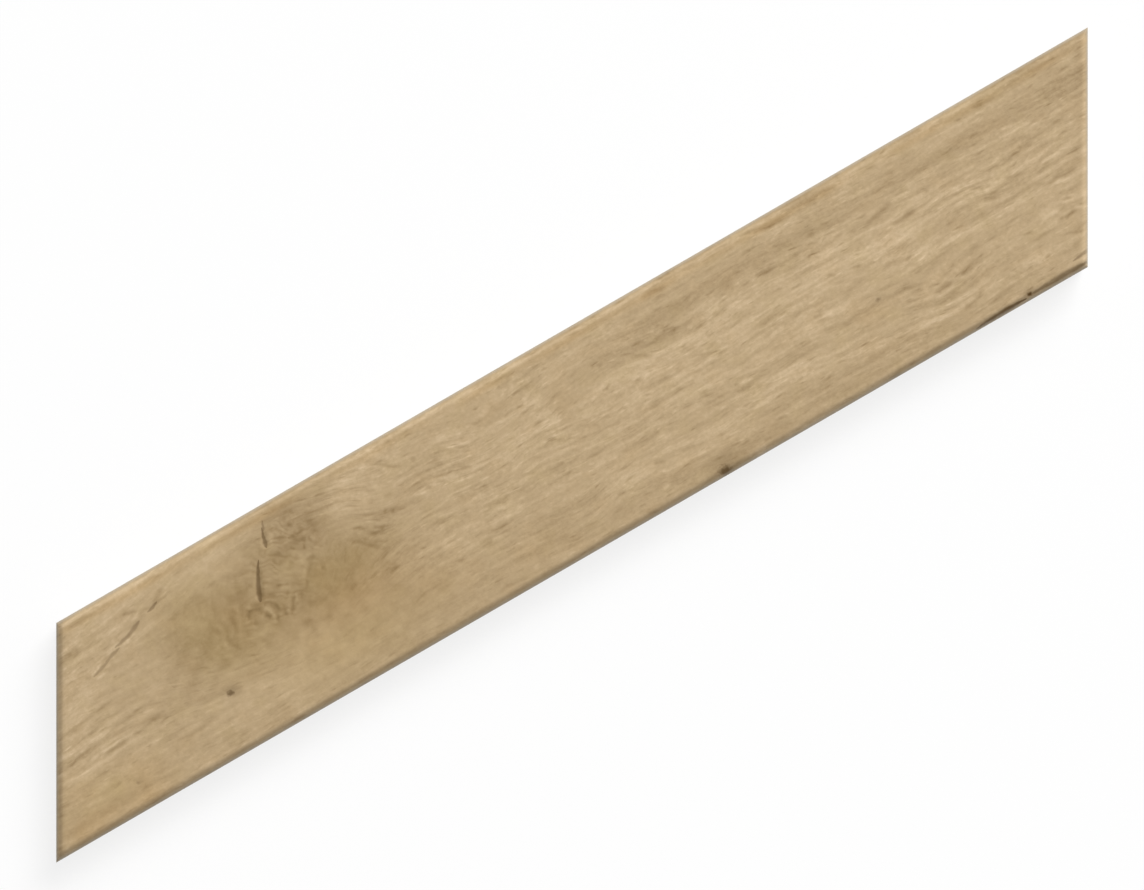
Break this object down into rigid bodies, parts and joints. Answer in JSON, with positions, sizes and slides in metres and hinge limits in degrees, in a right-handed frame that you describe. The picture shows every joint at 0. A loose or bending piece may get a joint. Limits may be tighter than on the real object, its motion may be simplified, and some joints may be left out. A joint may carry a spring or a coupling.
{
  "type": "chevron wall tile",
  "caption": "Slim parallelogram wall tile in matte wood-look porcelain, with mitred ends that meet in a chevron, a softly rounded face and a grooved back for adhesive.",
  "frame": {"origin": "centre of the bed face on the back, midway between the long edges and midway between the mitred ends", "axes": "+X across the chevron, square to the mitred ends and towards the spine end; +Y along the spine, towards the point of the chevron; +Z out of the glazed face"},
  "size_m": [0.1888, 0.1528, 0.009],
  "materials": {
    "glazed_porcelain": "matte"
  },
  "bodies": {
    "root": {"chevron_tile": "glazed_porcelain"}
  },
  "joints": []
}
